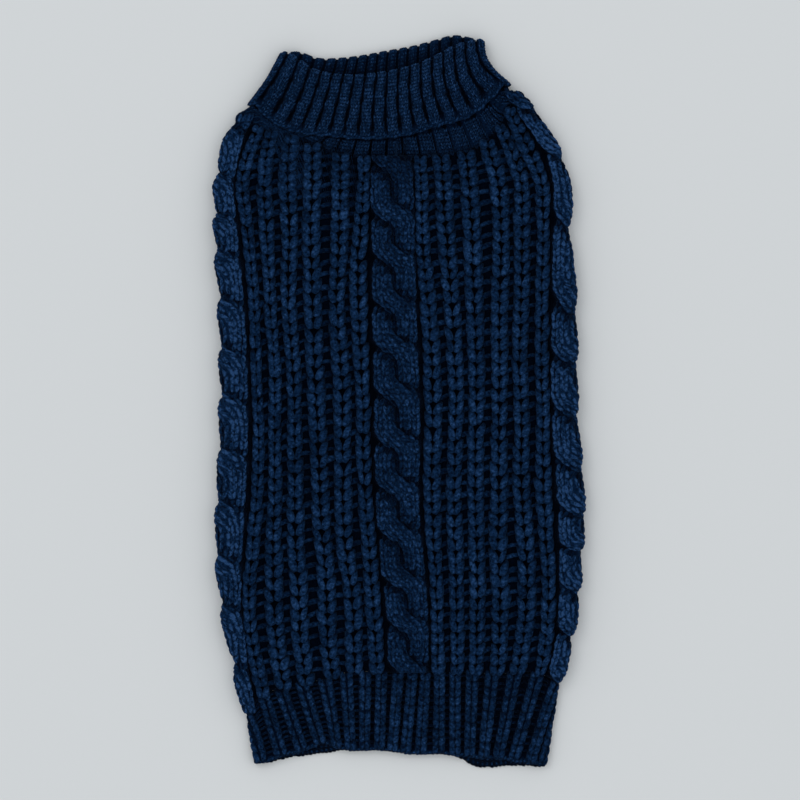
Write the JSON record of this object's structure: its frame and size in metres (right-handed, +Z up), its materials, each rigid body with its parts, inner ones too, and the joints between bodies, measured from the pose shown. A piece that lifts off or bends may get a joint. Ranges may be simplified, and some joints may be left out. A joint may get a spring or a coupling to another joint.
{
  "type": "knitted dog coat",
  "caption": "Sleeveless knitted dog coat laid flat, with raised rope cables and wales on the back, a turned-down ribbed collar, a ribbed hem and leg openings below.",
  "frame": {"origin": "middle of the bounding box, on the surface that the coat lies on", "axes": "+Z up out of the surface and the back panel, +Y along the back towards the neck, X across the coat"},
  "size_m": [0.2046, 0.4031, 0.0127],
  "materials": {
    "body_knit": "soft matte acrylic and wool yarn, deep navy",
    "rib_knit": "soft matte acrylic and wool yarn, deep navy, finer ribbing"
  },
  "bodies": {
    "root": {"back_panel": "body_knit", "belly_panel": "body_knit", "collar": "rib_knit", "hem_band": "rib_knit"}
  },
  "joints": []
}
